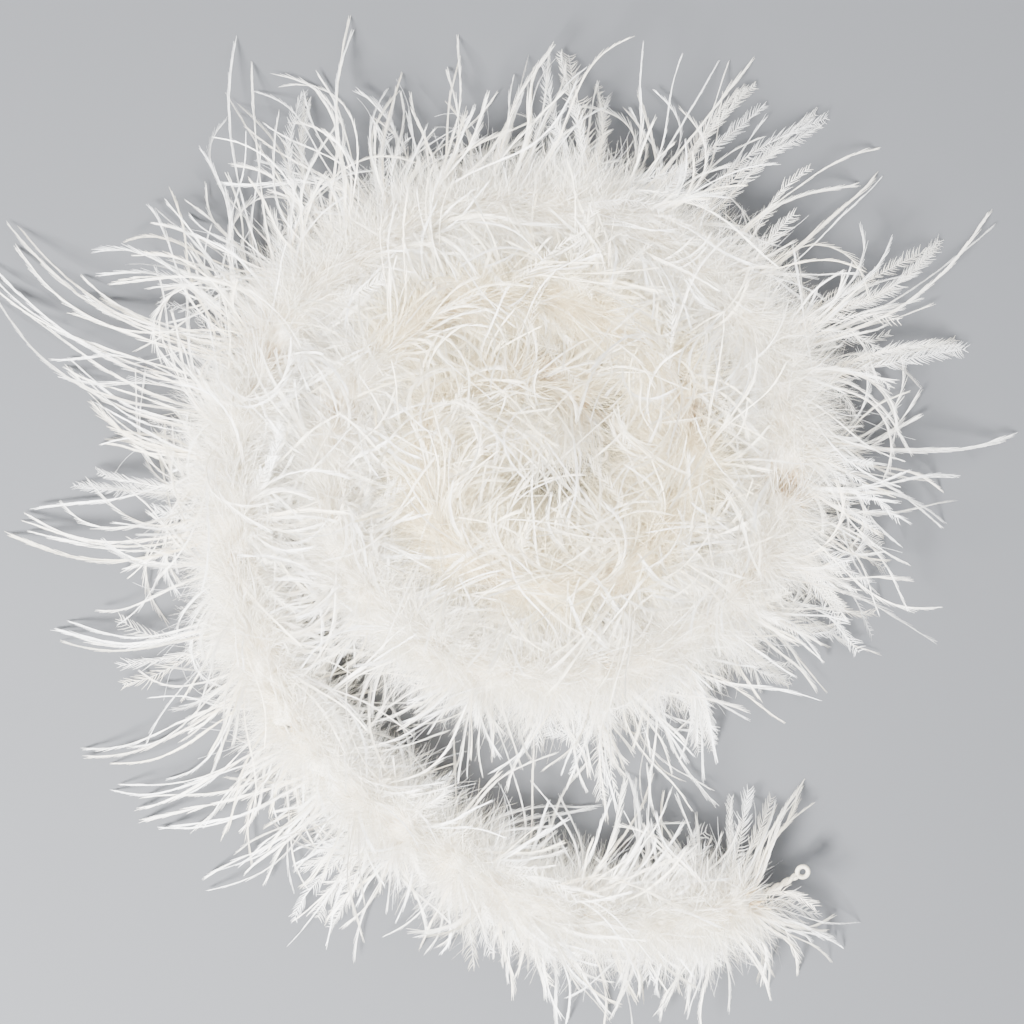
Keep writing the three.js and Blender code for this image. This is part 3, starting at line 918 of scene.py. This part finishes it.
def bunch_flues(rng, number, kind, count):
    """Spines of one bunch's flues of one kind. They come in sheaves of about three, which share
    their side, lean, rise and curl."""
    start, stop = region_of(number)
    zone = zone_of(number)
    on_tail, on_rim = zone == TAIL, zone in (TAIL, RIM)
    sheaves = max(count // 3, 1)
    member = rng.integers(0, sheaves, count)
    sheaf_places = rng.uniform(start, stop, sheaves)
    if on_rim:
        knots = rng.uniform(start, stop, 5)
        nearest = np.abs(sheaf_places[:, None] - knots).argmin(axis=1)
        sheaf_places += 0.45 * (knots[nearest] - sheaf_places)
    places = sheaf_places[member] + rng.normal(0, 1.2, count)
    places = np.clip(places, start, stop)
    along, outward = ROUTE.along(places), ROUTE.outward(places)
    side = np.where(rng.uniform(size=sheaves) < INWARD_SHARE[zone], -1.0, 1.0)[member]
    stray = 0.36 if number in NEAT_BUNCHES else 0.6 if on_rim else 1.6
    lean = rng.normal(0, stray, sheaves)[member] + rng.normal(0, 0.16, count)
    lean += OUTER_LEAN[number - 1] + 0.4 * np.sin(places / 37 + 1.3) if on_rim else 0.6
    swept_share, sweep = (0.24, -1.9) if on_tail else (0.15, 1.5)
    swept = (rng.uniform(size=sheaves) < swept_share)[member] & on_rim & (number > 1)
    lean += np.where(swept, sweep, 0.0)
    rise = rng.uniform(-0.25, 0.75, sheaves) if on_rim else rng.uniform(0.1, 1.1, sheaves)
    rise = rise[member] + rng.normal(0, 0.1, count)
    over_coil = (side < 0) & (number >= TAIL_BUNCHES) | swept | (not on_rim)
    rise = np.where(over_coil, rise + 0.4, rise)
    flat = unit(outward * side[:, None] + along * lean[:, None])
    heading = unit(flat + UP * rise[:, None])
    reach = INNER_REACH * np.where(np.abs(lean) > 1, 1.25, 1.0)
    if on_rim:
        inner_side = TIP_REACH if number == 1 else TAIL_REACH if on_tail else RIM_REACH
        reach = np.where(side > 0, OUTER_REACH[number - 1], inner_side)
    lengths = reach * (0.34 + 0.74 * rng.uniform(0, 1, count) ** 1.25)
    lengths *= KIND_LENGTH[kind]
    bend = rng.normal(0, 0.009, sheaves) * rng.choice([1, 2.4], sheaves, p=[0.75, 0.25])
    bend = bend[member] + rng.normal(0, 0.002, count)
    if not on_rim:
        bend += 0.9 * ROUTE.turning(places) * np.clip(lean, -1, 1)
    roots = ROUTE.point(places) + heading * 2.8
    clear = rng.uniform(0.6, 7.0, count)
    pile = np.where(over_coil, 1.3, 1.0)
    phase = rng.uniform(0, 2 * math.pi, sheaves)[member] + rng.normal(0, 0.35, count)
    return grow(rng, roots, heading, lengths, bend, 0.017, rng.uniform(0.006, 0.014, count),
                clear, FLUE_STEPS, pile, kink=0.05, phase=phase)


def sheaf_flues(rng, root, tip, bow, count):
    """Spines of one chosen sheaf, side by side from the cord to the tip."""
    place = place_near(root) + rng.normal(0, 3, count)
    begin = ROUTE.point(place)
    spread = np.linspace(0, 1, count)[:, None]
    end = np.array([*tip, 2.0]) + rng.normal(0, [8, 8, 0.8], (count, 3)) * spread
    span = end - begin
    beside = unit(np.cross(UP, span))
    middle = begin + span * 0.5 + beside * (bow * rng.uniform(0.9, 1.9, count))[:, None]
    middle[:, 2] = rng.uniform(26, 38, count)
    end[:, 2] = np.maximum(end[:, 2] + 1.2 * pile_height(end[:, :2]), 1.0)
    shares = np.linspace(0, 1, FLUE_STEPS)[None, :, None]
    spines = ((1 - shares) ** 2 * begin[:, None] + 2 * shares * (1 - shares) * middle[:, None]
              + shares ** 2 * end[:, None])
    wave = np.sin(shares * rng.uniform(4, 7, (count, 1, 1)) + rng.uniform(0, 6, (count, 1, 1)))
    return spines + beside[:, None] * wave * 3.6 * shares


def add_quills(fibres, rng, number):
    """Cut quill ends that stand out of the binding."""
    count = 9
    place = bunch_place(number) + rng.uniform(-3, 3, count)
    along, outward = ROUTE.along(place), ROUTE.outward(place)
    angle = rng.uniform(0.2 * math.pi, 0.8 * math.pi, count)
    radial = outward * np.cos(angle)[:, None] + UP * np.sin(angle)[:, None]
    begin = ROUTE.point(place) + radial * 4.5
    heading = unit(radial * 0.8 - along * rng.uniform(0.3, 1.0, count)[:, None])
    reach = rng.uniform(6, 13, count)[:, None, None] * np.linspace(0, 1, 5)[None, :, None]
    spines = begin[:, None] + heading[:, None] * reach
    _, across, through = frames(rng, spines)
    widths = rng.uniform(0.8, 1.3, (count, 1)) * np.array([1.0, 1.0, 0.95, 0.85, 0.7])
    run = np.broadcast_to(np.linspace(0, 1, 5), (count, 5))
    fibres.round_tubes(spines, across, through, widths, run,
                       rng.integers(QUILL_COLUMN, COLUMNS, count), 6)


def make_flues(number, settings, finish):
    """One bunch of ostrich flues: slim ones, open plumes, bare barbs and any chosen sheaves."""
    rng = random_for(number, 2)
    fibres = Fibres()
    share = 0.35 if number == BUNCH_COUNT else 1.0  # the last bunch is a small one
    slim, bare = settings.slim, settings.bare
    if number > RIM_BUNCHES:
        slim, bare = slim + 10, bare * 2
    for kind, count in ((SLIM, slim), (OPEN, settings.open), (BARE, bare)):
        spines = bunch_flues(rng, number, kind, int(count * share))
        feather(fibres, rng, number, spines, kind, settings)
    start, stop = region_of(number)
    for root, tip, bow, count, kind in SHEAVES:
        if start - 0.5 <= place_near(root) < stop + 0.5:
            feather(fibres, rng, number, sheaf_flues(rng, root, tip, bow, count), kind, settings)
    add_quills(fibres, rng, number)
    piece = fibres.make(f"flues_bunch_{number:02d}", finish)
    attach(piece, body_of_bunch(number))
    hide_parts(f"ostrich_flues_{number:02d}")


# ---- operators ----

# The stage, in metres: the floor point under the camera, the floor's half width, and the
# lamps' names, places, sizes and shares of the key light's power
VIEW_CENTRE = (0.0095, 0.0075)
FLOOR_REACH = 6.0
LAMPS = (("key_window", (-1.0, -1.1, 1.5), 0.6, 1.0), ("fill_window", (1.3, 0.9, 1.8), 1.8, 0.22))
SKY_COLOUR, SKY_STRENGTH = (0.93, 0.96, 1.0, 1.0), 0.75


class OBJECT_OT_boa_stage(Operator):
    """Set the floor, the lights and the camera"""
    bl_idname = "object.boa_stage"
    bl_label = "Set the Stage"

    def execute(self, context):
        settings = context.scene.boa_stage
        low, high = CAD_BOX
        middle = ((low[0] + high[0]) / 2, (low[1] + high[1]) / 2)

        camera = bpy.data.cameras.new("overhead_camera")
        camera.lens = camera.sensor_width * settings.camera_height / settings.view_width
        camera.clip_end = 50
        eye = bpy.data.objects.new("overhead_camera", camera)
        eye.location = (*VIEW_CENTRE, settings.camera_height)
        context.scene.collection.objects.link(eye)
        context.scene.camera = eye

        mesh = bpy.data.meshes.new("pale_board")
        turns = ((-1, -1), (1, -1), (1, 1), (-1, 1))
        corners = [(x * FLOOR_REACH, y * FLOOR_REACH, 0) for x, y in turns]
        mesh.from_pydata(corners, [], [(0, 1, 2, 3)])
        mesh.materials.append(floor_finish(tuple(settings.floor)))
        board = bpy.data.objects.new("pale_board", mesh)
        context.scene.collection.objects.link(board)

        for name, place, size, share in LAMPS:
            lamp = bpy.data.lights.new(name, "AREA")
            lamp.size = size
            lamp.energy = settings.key_power * share
            window = bpy.data.objects.new(name, lamp)
            window.location = place
            toward = np.array([*middle, 0.0]) - place
            window.rotation_euler = (
                math.atan2(math.hypot(toward[0], toward[1]), -toward[2]), 0,
                math.atan2(toward[1], toward[0]) - math.pi / 2)
            context.scene.collection.objects.link(window)

        world = bpy.data.worlds.new("soft_room")
        world.use_nodes = True
        sky = world.node_tree.nodes["Background"]
        sky.inputs["Color"].default_value = SKY_COLOUR
        sky.inputs["Strength"].default_value = SKY_STRENGTH
        context.scene.world = world
        return {"FINISHED"}


class OBJECT_OT_boa_cord(Operator):
    """Lay the twisted core cord, its whippings and its two end eyes"""
    bl_idname = "object.boa_cord"
    bl_label = "Lay the Cord"

    def execute(self, context):
        settings = context.scene.boa_cord
        colours = context.scene.boa_colours
        cotton = cotton_finish("twisted_cotton", tuple(colours.cotton), 0.55)
        thread = cotton_finish("whipping_thread", tuple(colours.thread), 0.6)

        outer_eye = make_eye("cord_eye_outer", "end_loop_outer", "end_loop", LOOP_HINGE, 0,
                             settings, cotton)
        inner_eye = make_eye("cord_eye_inner", "end_loop_inner", "inner_end", CORD_END,
                             CORD_END + LOOP_CENTRE * 2 + 0.3, settings, cotton)
        outer_whip = make_whipping("whipping_band_outer", "whipping_outer", "tail_4",
                                   FIRST_BUNCH - WHIPPING_TO_BUNCH, thread)
        inner_whip = make_whipping("whipping_band_inner", "whipping_inner", "inner_end",
                                   bunch_place(BUNCH_COUNT) + WHIPPING_TO_BUNCH, thread)

        lengths = [
            ("core_cord_coil", "coil", hinge_place(5), hinge_place(20), "object", ()),
            ("core_cord_tail_1", "tail_1", hinge_place(5), hinge_place(4), "object", ()),
            ("core_cord_tail_2", "tail_2", hinge_place(4), hinge_place(3), "object", ()),
            ("core_cord_tail_3", "tail_3", hinge_place(3), hinge_place(2), "object", ()),
            ("core_cord_tail_4", "tail_4", hinge_place(2), LOOP_HINGE, "knot",
             (outer_eye, outer_whip)),
            ("core_cord_inner", "inner_end", hinge_place(20), CORD_END, "knot",
             (inner_eye, inner_whip)),
        ]
        for node, body, start, stop, far_end, with_pieces in lengths:
            name = node.replace("core_cord", "twisted_cord")
            piece, path = make_cord_piece(name, node, body, start, stop, settings, cotton)
            abs(stop - start) * MM
        return {"FINISHED"}


class OBJECT_OT_boa_down(Operator):
    """Fluff the marabou down round the cord, sleeve by sleeve"""
    bl_idname = "object.boa_down"
    bl_label = "Fluff the Down"

    def execute(self, context):
        settings = context.scene.boa_down
        finish = feather_finish("marabou_down", context.scene.boa_colours, 0.2, 0.62)
        for number in range(1, SLEEVE_COUNT + 1):
            make_down(number, settings, finish)
        return {"FINISHED"}


class OBJECT_OT_boa_flues(Operator):
    """Bind in the ostrich flues, bunch by bunch"""
    bl_idname = "object.boa_flues"
    bl_label = "Bind the Flues"

    def execute(self, context):
        settings = context.scene.boa_flues
        finish = feather_finish("ostrich_flue", context.scene.boa_colours, 0.16, 0.5)
        for number in range(1, BUNCH_COUNT + 1):
            make_flues(number, settings, finish)
        return {"FINISHED"}


class VIEW3D_PT_boa(Panel):
    bl_label = "Feather Boa"
    bl_idname = "VIEW3D_PT_boa"
    bl_space_type = "VIEW_3D"
    bl_region_type = "UI"
    bl_category = "Feather Boa"

    def draw(self, context):
        layout = self.layout
        for operator in OPERATORS:
            layout.operator(operator.bl_idname)
        for name, group in SETTINGS.items():
            box = layout.box()
            for prop in group.__annotations__:
                box.prop(getattr(context.scene, name), prop)


OPERATORS = (OBJECT_OT_boa_stage, OBJECT_OT_boa_cord, OBJECT_OT_boa_down, OBJECT_OT_boa_flues)


def register():
    for group in SETTINGS.values():
        bpy.utils.register_class(group)
    for name, group in SETTINGS.items():
        setattr(bpy.types.Scene, name, PointerProperty(type=group))
    for operator in OPERATORS:
        bpy.utils.register_class(operator)
    bpy.utils.register_class(VIEW3D_PT_boa)


def unregister():
    bpy.utils.unregister_class(VIEW3D_PT_boa)
    for operator in reversed(OPERATORS):
        bpy.utils.unregister_class(operator)
    for name, group in SETTINGS.items():
        delattr(bpy.types.Scene, name)
        bpy.utils.unregister_class(group)


def main():
    register()
    bpy.ops.object.boa_stage()
    bpy.ops.object.boa_cord()
    bpy.ops.object.boa_down()
    bpy.ops.object.boa_flues()


if __name__ == "__main__":
    main()
